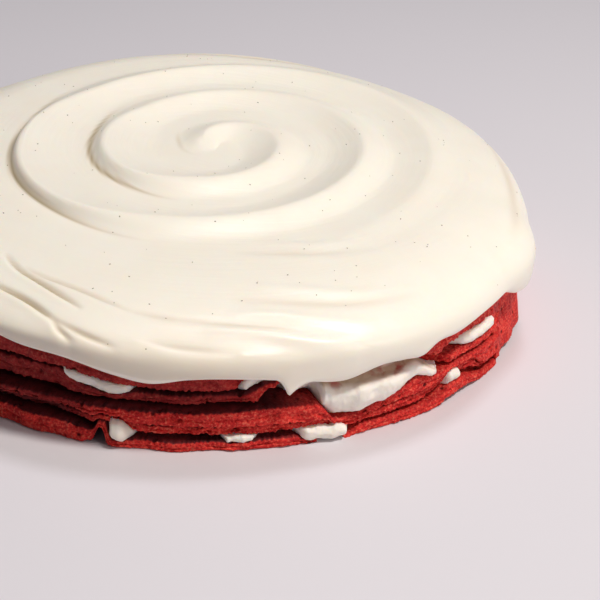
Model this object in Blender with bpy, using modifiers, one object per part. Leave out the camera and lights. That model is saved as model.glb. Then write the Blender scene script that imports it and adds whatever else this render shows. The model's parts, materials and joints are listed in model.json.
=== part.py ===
"""Red crepe cake, eight inches across: five crepes, three layers of cream and a frosting swirl.

The front of the cake faces -Y and it stands on Z = 0.  Every layer is a disc turned by a Screw
modifier.  Its points are then sent to the layer's own faces, which bulge, fold and part at the
rim in the places named in RIM_EVENTS.  Neighbouring layers share one face and keep GAP apart.
"""
import bmesh
import bpy
from math import atan2, cos, degrees, hypot, pi, radians, sin

MM = 0.001
GAP = 0.3 * MM                    # air kept between neighbouring layers
SEGMENTS = 68                     # columns round the cake
FRONT = radians(-75)              # the side where the columns stand closest
BUNCHING = 0.5                    # 0 spaces the columns evenly

CAKE_RADIUS = 99.6 * MM
FLAT_RADIUS = 74 * MM             # inside this the layers lie flat
RIM_RADIUS = 87 * MM              # outside this the layers follow the rim events

# faces from the board up, in the flat middle of the cake
FACES = [0, 3.0, 4.0, 6.9, 11.3, 13.5, 16.2, 17.0, 24.0]
LAYERS = ["crepe_1", "cream_1", "crepe_2", "crepe_3", "cream_2", "crepe_4", "cream_3", "crepe_5"]
THINNEST = 0.7                    # mm, the least that a layer shrinks to
LEAST_RAMP = 3.2                  # degrees, so that no swell falls between two columns

# where the rim leaves the flat stack: name, four azimuths in degrees between which it comes in,
# stays and goes out again, and how far each face moves up, in mm
RIM_EVENTS = [
    ("left gap", -140, -124, -106, -97, {1: 2.2, 2: 2.6, 3: 1.2, 4: -0.9}),
    ("left crown", -146, -126, -122, -94, {8: 7.6}),
    ("drawn in", -146, -120, -78, -72, {5: -3.0, 6: -1.3, 7: -1.3, 8: -0.9}),
    ("drawn in left", -150, -120, -112, -92, {5: -0.6, 6: -0.6, 7: -0.6}),
    ("left lift", -140, -122, -112, -98, {5: 2.0}),
    ("pocket floor", -140, -122, -108.5, -102.5, {6: 3.2}),
    ("pocket dip", -103, -100, -98.5, -95, {6: -0.9}),
    ("pocket roof", -140, -122, -108, -93, {7: 3.2}),
    ("fold", -101.9, -100.2, -99.9, -98.9, {0: 4.9}),
    ("fold back", -101.6, -100.0, -99.5, -98.5, {1: 3.8, 2: 2.6, 3: 1.5}),
    ("left blob", -99.4, -98.5, -97.6, -94.8, {1: -0.8, 2: 3.5, 3: 1.4}),
    ("front bit", -83.0, -81.0, -78.4, -75.8, {1: -0.5}),
    ("band swell", -88, -73, -68.6, -67.2, {4: 1.2}),
    ("bulge bed", -67.9, -65.2, -64.2, -50, {4: -4.4, 3: -1.2, 2: -0.4}),
    ("lobe", -78.6, -75.2, -74.6, -72.0, {5: 5.4}),
    ("ribbon", -80, -75.2, -74.5, -72, {6: 3.3}),
    ("cavity roof", -74.5, -71.5, -51.5, -44.5, {5: 4.8, 6: 3.6}),
    ("lifted top", -80.8, -77.2, -70, -63, {7: 6.0}),
    ("ragged top", -69, -62, -52, -49.4, {7: 3.6}),
    ("foot bed", -72, -68.2, -62.8, -60, {1: -1.9}),
    ("foot blob", -74, -70, -66.5, -63.2, {2: 0.9}),
    ("foot peak", -65.8, -64.8, -64.4, -63.2, {2: 0.9}),
    ("closed foot", -64, -62, -48, -45, {2: -0.4}),
    ("right corner", -53, -50, -46, -42, {7: -1.5}),
    ("right fold", -37, -32, -10, 0, {1: -0.8, 2: -1.2, 3: -2.8}),
    ("right step", -53, -50.5, -49.5, -47, {4: 0.8}),
    ("right dip", -52, -47.5, -33, -24, {4: -0.4, 5: -2.1, 6: -1.9}),
    ("right roof", -46, -38, -32, -28.5, {7: 0.9}),
    ("curl", -46.5, -41, -40, -34, {1: 2.6}),
    ("curl pocket", -43.9, -42.6, -40.8, -39.6, {2: 2.4}),
    ("curl roof", -48, -42.5, -38.5, -32, {2: 2.0, 3: 2.2}),
    ("curl foot", -45.6, -44, -37.5, -34, {0: 1.3}),
    ("right crown", -54, -40, -36, -20, {8: 2.6}),
    ("right bulge", 0, 18, 20, 38, {4: -2.2, 5: 2.0, 6: 1.2, 7: 0.8}),
    ("back pocket", 50, 60, 64, 71, {6: -1.8, 7: 1.2, 8: 1.0}),
    ("back blob", 80, 87, 90, 98, {1: -1.0, 2: 2.2, 3: 0.5}),
    ("back bulge", 112, 124, 132, 150, {4: -2.8, 5: 2.2, 6: 1.4, 7: 1.2, 8: 0.6}),
    ("side gap", 166, 182, 190, 210, {1: 1.2, 2: 2.2, 3: 0.8, 4: -0.6, 5: 0.8, 8: 1.4}),
    ("side pocket", 213, 220, 224, 230, {6: -1.8, 7: 1.2}),
]

# how far each layer stops short of the cake's radius, in mm
SETBACK = {"crepe_1": 0.2, "cream_1": 5.0, "crepe_2": 1.1, "crepe_3": 0.1,
           "cream_2": 8.5, "crepe_4": 1.0, "cream_3": 5.0, "crepe_5": 0.8}
# layer, the same four azimuths, and how far its rim comes out there, in mm
RIM_REACHES = [
    ("crepe_4", -146, -120, -77, -72, -2.4), ("cream_3", -146, -120, -77, -72, -2.4),
    ("crepe_5", -146, -120, -77, -72, -2.4), ("cream_2", -146, -120, -77, -72, -3.0),
    ("crepe_2", -128, -112, -108, -100, -2.6), ("crepe_3", -128, -112, -108, -99, -2.0),
    ("crepe_4", -130, -114, -110, -101, -1.2), ("crepe_5", -130, -114, -110, -101, -0.8),
    ("cream_1", -126, -112, -104, -100.5, -4.5), ("cream_1", -99.6, -98.2, -97.4, -93.9, 7.2),
    ("cream_1", -83.2, -81.4, -78.2, -75.4, 5.3), ("cream_1", -72.5, -69.5, -64, -61.4, 6.0),
    ("crepe_1", -67.9, -67.0, -64.2, -63.4, -6.0), ("cream_3", -108.5, -105.5, -97, -94.5, 4.4),
    ("crepe_4", -81, -77, -75.5, -73.5, 0.8), ("cream_3", -80.5, -78.5, -76, -74.5, 4.2),
    ("cream_2", -73.5, -72, -68, -67, 3.0), ("cream_2", -68.3, -67.2, -47.5, -41.5, 9.4),
    ("cream_2", -66, -60, -56, -50, 1.6), ("crepe_4", -74.5, -72.5, -46.5, -42.5, -6.0),
    ("crepe_5", -78, -74, -67, -63, -2.0), ("crepe_5", -67, -62, -53, -49, 1.6),
    ("cream_3", -42.5, -37.5, -31, -28.4, 4.8), ("crepe_5", -54, -42, -38, -30, -1.0),
    ("crepe_5", -31.5, -27.5, 20, 45, -2.6), ("crepe_5", -16, -2, 20, 45, -2.6),
    ("cream_1", -43.8, -42.8, -41, -39.8, 5.2), ("crepe_1", -27.5, -23.5, -16, -8, -3.0),
    ("crepe_1", -10, 4, 30, 50, -2.5), ("crepe_2", -10, 4, 30, 50, -2.5),
    ("crepe_3", -10, 4, 30, 50, -2.5), ("crepe_4", -10, 4, 30, 50, -2.5),
    ("cream_2", 2, 16, 20, 36, 9.4), ("cream_3", 51, 60, 64, 71, 4.4), ("cream_1", 80, 87, 90, 98, 5.4),
    ("cream_2", 113, 124, 132, 149, 9.8), ("cream_3", 213, 220, 224, 230, 4.4),
]

# the top crepe's edge turns down over the side here
FLAP_START, FLAP_END = -33, 30
FLAP_DROP = 15.2 * MM
FLAP_FLARE = 3.0 * MM             # the flap leans out towards its lower edge
FLAP_THICK = 3.0 * MM
CORNER = 1.1 * MM                 # rounding of a crepe's edge

FROSTING_TOP = 40.0 * MM
FROSTING_TILT = 0.03              # the top climbs towards the back
FROSTING_WAIST = 26.0 * MM        # height where the frosting is widest
WAIST_RISE = 4.2 * MM             # it is widest higher up at the front left
FROSTING_RADIUS = 101.8 * MM
FROSTING_OVAL = 3.0 * MM          # wider front to back than side to side
FROSTING_EDGE = [(-38, 34, 1.8), (-18, 13, 2.8), (30, 30, 2.6), (95, 55, 3.8)]
FROSTING_SHOULDER = 26 * MM       # how far in from the edge the top starts to fall
SHOULDER_LEAN = 0.26              # the shoulder is that much wider at the front, narrower behind
SHOULDER_TURNS = (0.25, 0.45, 0.64, 0.82, 1.0)
LIP_TUCK = 1.7 * MM
# azimuth and height of the lip's lower edge, in mm, all the way round
LIP_LINE = [
    (-180, 23.0), (-150, 25.5), (-132, 28.8), (-119, 28.8), (-112, 26.8), (-104, 25.9), (-97.5, 23.2),
    (-92.5, 21.6), (-87, 23.1), (-78, 22.7), (-72, 21.2), (-65, 19.4), (-58.5, 21.7), (-55, 21.3),
    (-51.3, 20.9), (-49.3, 22.9), (-45, 23.2), (-36, 25.0), (-30, 24.6), (-24, 20.6), (-17, 19.6),
    (-8, 21.0), (2, 22.4), (24, 23.6), (44, 21.6), (62, 23.8), (78, 21.0), (98, 23.6), (120, 22.0),
    (142, 23.8), (160, 21.8),
]
# tips pulled out of the lip: azimuth, reach before and after it, and drop in mm
LIP_TIPS = [(-73.2, 3.4, 3.8, 4.6), (58, 5.0, 5.0, 3.2), (133, 5.0, 5.0, 2.4), (-158, 5.0, 5.0, 2.8)]

SWIRL_CENTRE = (3.5 * MM, 8.4 * MM)
SWIRL_START = 68.6 * MM           # radius of the groove behind the centre
SWIRL_PITCH = 21.0 * MM
SWIRL_TIGHTEN = 2.4 * MM
SWIRL_OVAL = 2.6 * MM
SWIRL_SKEW = 3.4 * MM
SWIRL_ROUNDING = 0.34             # how fast the oval fades on the inner turns
SWIRL_TURNS = 2.42
SWIRL_HEIGHT = 2.9 * MM
SWIRL_STEP = 8.5 * MM             # width of the steep side of the groove

CREPE_RED = (0.56, 0.023, 0.020, 1)
FILLING_CREAM = (0.84, 0.76, 0.65, 1)
FROSTING_IVORY = (0.86, 0.78, 0.64, 1)


def smooth(t):
    t = min(1.0, max(0.0, t))
    return t * t * (3 - 2 * t)


def stretch(az, start, full, last_full, end):
    """0 before start, rising smoothly to 1 from full to last_full, and back to 0 at end."""
    middle = (full + last_full) / 2
    az = (az - middle + 180) % 360 - 180 + middle
    before = min(start, full - LEAST_RAMP)
    after = max(end, last_full + LEAST_RAMP)
    return smooth((az - before) / (full - before)) * smooth((after - az) / (after - last_full))


def rim_faces(az):
    """Heights of all nine faces at the rim, none closer than THINNEST."""
    z = list(FACES)
    for _, *azimuths, rises in RIM_EVENTS:
        s = stretch(az, *azimuths)
        for face, rise in rises.items():
            z[face] += s * rise
    for k in range(1, len(z)):
        z[k] = max(z[k], z[k - 1] + THINNEST)
    return z


def face_height(k, r, az):
    blend = min(1.0, max(0.0, (r - FLAT_RADIUS) / (RIM_RADIUS - FLAT_RADIUS)))
    return MM * (FACES[k] + blend * (rim_faces(az)[k] - FACES[k]))


def flap(az):
    az = (az + 180) % 360 - 180
    return smooth((az - FLAP_START) / 7) * smooth((FLAP_END - az) / 22)


def layer_radius(name, az):
    """Outer radius of a layer; all but the top crepe draw in behind its flap."""
    r = CAKE_RADIUS - MM * SETBACK[name]
    r += MM * sum(amount * stretch(az, *azimuths) for layer, *azimuths, amount in RIM_REACHES
                  if layer == name)
    r += 0.35 * MM * sin(radians(7 * az) + len(name) + LAYERS.index(name))
    r -= 0.9 * MM * stretch(az, 140, 165, 195, 220)
    if name == "crepe_5":
        return r - 0.2 * MM * flap(az)
    faces, k = rim_faces(az), LAYERS.index(name)
    near = max(flap(az), flap(az + 3), flap(az - 6))
    covered = smooth((faces[k + 1] - faces[7] + near * FLAP_DROP / MM + 2.5) / 2.0)
    if near > 0:
        behind = layer_radius("crepe_5", az) - FLAP_THICK - 3 * GAP
        r = min(r, r + covered * (behind - r))
    return r


def frosting_radius(az):
    a = radians(az)
    bulges = MM * sum(amount * stretch(az, c - w, c - 1, c + 1, c + w) for c, w, amount in FROSTING_EDGE)
    return FROSTING_RADIUS - FROSTING_OVAL * cos(2 * a) + bulges + 0.35 * MM * sin(7 * a + 1.9)


def lip_height(az):
    """The lip's lower edge: smooth between the points of LIP_LINE, with its pulled tips."""
    az = (az + 180) % 360 - 180
    points = LIP_LINE + [(LIP_LINE[0][0] + 360, LIP_LINE[0][1])]
    k = max(j for j in range(len(LIP_LINE)) if points[j][0] <= az)
    (a0, z0), (a1, z1) = points[k], points[k + 1]
    z = z0 + (z1 - z0) * smooth((az - a0) / (a1 - a0))
    for centre, before, after, drop in LIP_TIPS:
        d = (az - centre + 180) % 360 - 180
        z -= drop * max(0.0, 1 - abs(d) / (before if d < 0 else after))
    return z * MM


def swirl(x, y):
    """Spatula groove: each arm climbs a steep step inward, then falls gently to the next."""
    dx, dy = x - SWIRL_CENTRE[0], y - SWIRL_CENTRE[1]
    r, a = hypot(dx, dy), atan2(dy, dx)
    first_turn = ((degrees(a) - 90) % 360) / 360 - 1
    height = 0.0
    for turn in (first_turn + n for n in range(4)):
        oval = SWIRL_SKEW * sin(2 * a) - SWIRL_OVAL * cos(2 * a)
        arm = (SWIRL_START - SWIRL_PITCH * turn - SWIRL_TIGHTEN * turn * turn
               + oval * (1 - SWIRL_ROUNDING * turn))
        strength = smooth((turn + 0.55) / 0.6) * smooth((SWIRL_TURNS - turn) / 0.5)
        inward = arm + SWIRL_STEP / 2 - r
        if inward > 0 and strength > 0:
            climb = smooth(inward / SWIRL_STEP)
            fall = max(0.0, 1 - max(0.0, inward - SWIRL_STEP) / (SWIRL_PITCH - SWIRL_STEP))
            height += strength * climb * fall ** 1.4
    return SWIRL_HEIGHT * height


def column_azimuth(u):
    """Spread of the columns: close together at the front, wide apart at the back."""
    return degrees(u - BUNCHING * sin(u - FRONT))


def split_quads(mesh):
    """Cut each four-sided face from its inner corner on one column to its outer corner on the
    next, so that two layers which share a face are cut alike and never cross."""
    bm = bmesh.new()
    bm.from_mesh(mesh)
    for face in [f for f in bm.faces if len(f.verts) == 4]:
        middle = face.calc_center_median()
        across = middle.cross((0, 0, 1))
        first_column = sorted(face.verts, key=lambda v: v.co.dot(across))[2:]
        corner = min(first_column, key=lambda v: v.co.xy.length)
        ring = list(face.verts)
        bmesh.utils.face_split(face, corner, ring[(ring.index(corner) + 2) % 4])
    bm.to_mesh(mesh)
    bm.free()


def lathe(name, profile, place):
    """Turn a profile of (radius, height) into a closed disc, then send each point to
    place(ring, azimuth), which gives its true radius and height."""
    mesh = bpy.data.meshes.new(name + "_profile")
    mesh.from_pydata([(r, 0, z) for r, z in profile], [(i, i + 1) for i in range(len(profile) - 1)], [])
    turned = bpy.data.objects.new(name + "_turned", mesh)
    bpy.context.scene.collection.objects.link(turned)
    screw = turned.modifiers.new("Turn", "SCREW")
    screw.axis, screw.angle = "Z", 2 * pi
    screw.steps = screw.render_steps = SEGMENTS
    screw.use_merge_vertices, screw.merge_threshold = True, 0.00005
    screw.use_smooth_shade = False
    body = bpy.data.meshes.new_from_object(turned.evaluated_get(bpy.context.evaluated_depsgraph_get()))
    bpy.data.objects.remove(turned)
    for v in body.vertices:
        r0, u = hypot(v.co.x, v.co.y), atan2(v.co.y, v.co.x)
        ring = min(range(len(profile)), key=lambda j: hypot(profile[j][0] - r0, profile[j][1] - v.co.z))
        az = column_azimuth(u)
        r, z = place(ring, az)
        if r0 < 1e-6:
            r = 0.0
        v.co = (r * cos(radians(az)), r * sin(radians(az)), z)
    split_quads(body)
    body.name = name
    obj = bpy.data.objects.new(name, body)
    parts.objects.link(obj)
    return obj


def disc_layer(name):
    """A crepe or a layer of cream: two shared faces and a softly rounded edge."""
    k = LAYERS.index(name)
    profile = [(0, 2), (74, 2), (87, 2), (98, 2), (100, 0), (98, -2), (87, -2), (74, -2), (0, -2)]

    def place(ring, az):
        edge = layer_radius(name, az)
        top, bottom = face_height(k + 1, 1, az) - GAP / 2, face_height(k, 1, az) + (GAP / 2 if k else 0)
        soft = min(CORNER, 0.45 * (top - bottom))
        radius = [0, FLAT_RADIUS, RIM_RADIUS, edge - soft, edge, edge - soft, RIM_RADIUS, FLAT_RADIUS, 0]
        r = radius[ring]
        if ring == 4:
            return r, (top + bottom) / 2
        at = 0 if r < RIM_RADIUS - MM else 1
        if ring < 4:
            return r, face_height(k + 1, at, az) - GAP / 2
        return r, face_height(k, at, az) + (GAP / 2 if k else 0)

    return lathe(name, [(r * MM, z * MM) for r, z in profile], place)


def folded_crepe(name):
    """The top crepe, whose edge turns down over the side as a flap."""
    k = LAYERS.index(name)
    profile = [(0, 2), (74, 2), (87, 2), (96, 2), (100, 1), (100, -4), (97, -5), (95, -2),
               (87, -2), (74, -2), (0, -2)]

    def place(ring, az):
        edge, bend = layer_radius(name, az), flap(az)
        top, bottom = face_height(k + 1, 1, az) - GAP / 2, face_height(k, 1, az) + GAP / 2
        drop = FLAP_DROP * bend
        inner = edge - CORNER - (FLAP_THICK - CORNER) * bend
        flare = FLAP_FLARE * bend
        radius = [0, FLAT_RADIUS, RIM_RADIUS, edge - 2 * CORNER, edge, edge + flare,
                  edge - CORNER + flare, inner, RIM_RADIUS, FLAT_RADIUS, 0]
        height = {3: top, 4: top - 1.3 * MM, 5: bottom + CORNER - drop, 6: bottom - drop}
        r = radius[ring]
        if ring == 7:
            return r - 0.8 * MM, bottom
        if ring in height:
            return r, height[ring]
        at = 0 if r < RIM_RADIUS - MM else 1
        if ring < 4:
            return r, face_height(k + 1, at, az) - GAP / 2
        return r, face_height(k, at, az) + GAP / 2

    return lathe(name, [(r * MM, z * MM) for r, z in profile], place)


def frosting():
    """Thick frosting: a swirled top, a round shoulder and a lip that hangs over the crepes."""
    top_radii = [0, 6] + [11.2 + 5.2 * n for n in range(13)]
    profile = ([(r, 40) for r in top_radii] + [(82, 39.6), (87, 38.5), (92, 36), (97, 33), (100, 29)]
               + [(99, 26), (97, 23)]
               + [(95, 24), (93, 25), (87, 25), (74, 25), (0, 25)])
    profile = [(r * MM, z * MM) for r, z in profile]
    last_top = len(top_radii) - 1

    def place(ring, az):
        edge, a = frosting_radius(az), radians(az)
        rest = face_height(len(LAYERS), 1, az) + GAP / 2
        crepe = layer_radius("crepe_5", az)
        room = edge - LIP_TUCK - crepe - GAP
        hang = smooth((room - 1.2 * MM) / (2.2 * MM)) * max(0.6 * MM, rest - lip_height(az))
        inner = crepe + 1.2 * GAP if hang > 0 else min(crepe, edge - LIP_TUCK - MM)
        waist = FROSTING_WAIST + WAIST_RISE * stretch(az, -170, -140, -108, -84)
        start = edge - FROSTING_SHOULDER * (1 - SHOULDER_LEAN * sin(a))
        if ring <= last_top:
            r = profile[ring][0] * start / (78 * MM)
            z = FROSTING_TOP + FROSTING_TILT * r * sin(a)
            return r, z + swirl(r * cos(a), r * sin(a))
        shoulder = ring - last_top
        if shoulder <= len(SHOULDER_TURNS):
            t = radians(90 * SHOULDER_TURNS[shoulder - 1])
            r = start + (edge - start) * sin(t)
            fall = 1 - cos(t) ** 0.85 if shoulder < len(SHOULDER_TURNS) else 1.0
            crown = FROSTING_TOP + FROSTING_TILT * r * sin(a) + swirl(r * cos(a), r * sin(a)) * cos(t)
            return r, crown + (waist - crown) * fall
        shoulder -= len(SHOULDER_TURNS)
        lip = rest - hang
        under = [(edge - 0.3 * LIP_TUCK, lip + 0.35 * (waist - lip)), (edge - LIP_TUCK, lip),
                 (inner, rest - 0.85 * hang), (inner if hang > 0.2 * MM else inner - 2 * MM, rest)]
        if shoulder <= len(under):
            return under[shoulder - 1]
        r = (RIM_RADIUS, FLAT_RADIUS, 0)[shoulder - len(under) - 1]
        return r, face_height(len(LAYERS), r, az) + GAP / 2

    return lathe("frosting", profile, place)


def material(name, colour, roughness):
    mat = bpy.data.materials.new(name)
    mat.use_nodes = True
    shader = mat.node_tree.nodes["Principled BSDF"]
    shader.inputs["Base Color"].default_value = colour
    shader.inputs["Roughness"].default_value = roughness
    shader.inputs["Metallic"].default_value = 0.0
    return mat


def centre_on_origin(objects):
    """Slide the whole cake so that its bounding box stands on the origin."""
    points = [v.co for o in objects for v in o.data.vertices]
    dx = (min(p.x for p in points) + max(p.x for p in points)) / 2
    dy = (min(p.y for p in points) + max(p.y for p in points)) / 2
    for o in objects:
        for v in o.data.vertices:
            v.co.x -= dx
            v.co.y -= dy


for old in list(bpy.data.objects):
    bpy.data.objects.remove(old)
parts = bpy.data.collections.new("crepe_cake")
bpy.context.scene.collection.children.link(parts)

layers = [folded_crepe(n) if n == "crepe_5" else disc_layer(n) for n in LAYERS]
icing = frosting()
for layer in layers:
    if layer.name.startswith("crepe"):
        layer.data.materials.append(material(layer.name + "_sponge", CREPE_RED, 0.75))
    else:
        layer.data.materials.append(material(layer.name + "_filling", FILLING_CREAM, 0.45))
icing.data.materials.append(material("frosting_cream_cheese", FROSTING_IVORY, 0.35))
centre_on_origin(layers + [icing])
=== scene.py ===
# %% [markdown]
# A red crepe cake, eight inches across. Five soft crepes are stacked with a little cream between
# them, and a thick vanilla frosting is turned onto the top with a spatula. The crepes are torn and
# porous at the rim, the cream squeezes out here and there, and the frosting hangs over the side.
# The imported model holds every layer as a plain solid. This script keeps their places and gives each
# one its real edge, its relief and its finish.

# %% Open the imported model
import json
from math import pi, radians

import bpy
import numpy as np
from mathutils import Matrix, Vector

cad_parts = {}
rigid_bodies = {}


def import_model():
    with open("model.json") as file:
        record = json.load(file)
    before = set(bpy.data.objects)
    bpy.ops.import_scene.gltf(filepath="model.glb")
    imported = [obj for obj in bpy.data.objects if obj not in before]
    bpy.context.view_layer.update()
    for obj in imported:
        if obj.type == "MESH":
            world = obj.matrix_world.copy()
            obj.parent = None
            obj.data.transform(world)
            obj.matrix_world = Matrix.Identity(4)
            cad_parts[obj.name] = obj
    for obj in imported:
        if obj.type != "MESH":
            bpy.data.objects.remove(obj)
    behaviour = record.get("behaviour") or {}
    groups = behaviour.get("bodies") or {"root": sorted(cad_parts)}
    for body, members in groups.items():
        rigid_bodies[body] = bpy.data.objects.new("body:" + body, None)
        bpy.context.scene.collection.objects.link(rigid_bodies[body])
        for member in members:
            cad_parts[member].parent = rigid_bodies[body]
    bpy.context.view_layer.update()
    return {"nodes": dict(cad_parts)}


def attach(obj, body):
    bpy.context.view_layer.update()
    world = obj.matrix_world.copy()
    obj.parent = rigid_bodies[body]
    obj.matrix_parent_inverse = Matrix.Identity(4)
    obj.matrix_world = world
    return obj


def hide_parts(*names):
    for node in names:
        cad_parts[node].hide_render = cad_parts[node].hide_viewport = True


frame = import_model()
MM = 0.001
print("layers in the packed model:", sorted(frame["nodes"]))

# %% [markdown]
# The cake stands on a plain pale floor. One broad lamp hangs high at the front right, as a large
# window would, so the overhanging frosting throws the left side of the crepes into shade. A weak
# cool sky fills the shade. A white floor matters here: half of the light on a cake's side comes up
# from what it stands on.

# %% Floor, lamps and camera
CAMERA_PLACE = Vector((30.93, -396.47, 198.03)) * MM
CAMERA_PITCH = radians(27.43)         # how far it looks down
CAMERA_ROLL = radians(3.02)
LENS = 84                             # mm, on a 36 mm wide sensor


def linear(hex_colour):
    """An sRGB hex colour as the linear values that the shaders take."""
    values = [int(hex_colour[i:i + 2], 16) / 255 for i in (1, 3, 5)]
    return [v / 12.92 if v <= 0.04045 else ((v + 0.055) / 1.055) ** 2.4 for v in values] + [1.0]


def lamp(name, place, size, watts, colour):
    """A square area lamp that looks at the cake."""
    light = bpy.data.lights.new(name, "AREA")
    light.size, light.energy, light.color = size, watts, linear(colour)[:3]
    lamp_object = bpy.data.objects.new(name, light)
    lamp_object.matrix_world = (Matrix.Translation(place)
                                @ Vector(place).to_track_quat("Z", "Y").to_matrix().to_4x4())
    bpy.context.scene.collection.objects.link(lamp_object)


lamp("window", (0.505, -0.335, 1.160), 0.16, 11.4, "#fffaf2")
lamp("side_glow", (0.95, -0.72, 0.50), 0.40, 3.0, "#fffaf2")
lamp("skylight", (0.17, 0.28, 1.37), 0.26, 4.4, "#fbfaff")

world = bpy.data.worlds.new("sky")
world.use_nodes = True
world.node_tree.nodes["Background"].inputs["Color"].default_value = linear("#f6f8ff")
world.node_tree.nodes["Background"].inputs["Strength"].default_value = 0.10
bpy.context.scene.world = world

camera = bpy.data.objects.new("camera", bpy.data.cameras.new("camera"))
camera.data.lens, camera.data.sensor_width = LENS, 36
camera.matrix_world = (Matrix.Translation(CAMERA_PLACE) @ Matrix.Rotation(pi / 2 - CAMERA_PITCH, 4, "X")
                       @ Matrix.Rotation(CAMERA_ROLL, 4, "Z"))
bpy.context.scene.collection.objects.link(camera)
bpy.context.scene.camera = camera
bpy.context.scene.view_settings.view_transform = "Standard"

# %% [markdown]
# Materials and Geometry Nodes are both node trees, so one small function adds a node to either. It
# sets the node's own settings first, then fills its inputs with values or wires, and gives back one
# output, ready to be the input of the next node.

# %% The node helper
def add(tree, kind, inputs=(), out=0, **settings):
    """Add a node. inputs is a tuple in socket order, or a dict by identifier or name."""
    made = tree.nodes.new(kind)
    for key, value in settings.items():
        setattr(made, key, value)

    def find(sockets, key):
        if isinstance(key, int):
            return sockets[key]
        exact = [s for s in sockets if s.identifier == key]
        return exact[0] if exact else next(s for s in sockets if s.name == key and s.enabled)

    for key, value in inputs.items() if isinstance(inputs, dict) else enumerate(inputs):
        socket = find(made.inputs, key)
        if isinstance(value, bpy.types.NodeSocket):
            tree.links.new(value, socket)
        elif value is not None:
            socket.default_value = value
    return find(made.outputs, out) if len(made.outputs) else made


def new_material(name):
    """A material with nothing but an output; returns it and its tree."""
    made = bpy.data.materials.new(name)
    made.use_nodes = True
    made.node_tree.nodes.clear()
    return made, made.node_tree


# %% [markdown]
# The floor is painted board: matt, nearly white and a little cool. Faint broad clouding keeps it
# from looking like a flat fill.

# %% The floor
FLOOR_SIZE = 6.0


def painted_board():
    made, tree = new_material("painted_board")
    place = add(tree, "ShaderNodeTexCoord", out="Object")
    cloud = add(tree, "ShaderNodeTexNoise", {"Vector": place, "Scale": 3.0, "Detail": 2.0})
    colour = add(tree, "ShaderNodeMix", {"Factor_Float": cloud, "A_Color": linear("#dbd7dd"),
                                         "B_Color": linear("#dfdbe1")}, out="Result_Color", data_type="RGBA")
    shader = add(tree, "ShaderNodeBsdfPrincipled", {"Base Color": colour, "Roughness": 0.6,
                                                    "Specular IOR Level": 0.3})
    add(tree, "ShaderNodeOutputMaterial", {"Surface": shader})
    return made


floor_mesh = bpy.data.meshes.new("floor")
half = FLOOR_SIZE / 2
floor_mesh.from_pydata([(-half, -half, 0), (half, -half, 0), (half, half, 0), (-half, half, 0)], [], [(0, 1, 2, 3)])
floor = bpy.data.objects.new("floor", floor_mesh)
floor_mesh.materials.append(painted_board())
bpy.context.scene.collection.objects.link(floor)
print("stage set")

# %% [markdown]
# The stack is the model's own: nine faces from the board up, flat in the middle of the cake and
# moved up or down at the rim in named places. Everything is worked out for all columns round the
# cake at once, so the fine discs cost no more code than coarse ones. The columns stand closer
# together at the front, where the cake is looked at from nearby.

# %% The rule of the stack
GAP = 0.3                             # mm of air between layers
CAKE_RADIUS, FLAT_RADIUS, RIM_RADIUS = 99.6, 74.0, 87.0
AXIS = (-0.1578, -1.9851)             # mm, the crepes' turning axis in the model's box
FACES = [0, 3.0, 4.0, 6.9, 11.3, 13.5, 16.2, 17.0, 24.0]
LAYERS = ["crepe_1", "cream_1", "crepe_2", "crepe_3", "cream_2", "crepe_4", "cream_3", "crepe_5"]
THINNEST = 0.7
FRONT, BUNCHING = -75.0, 0.35

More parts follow.
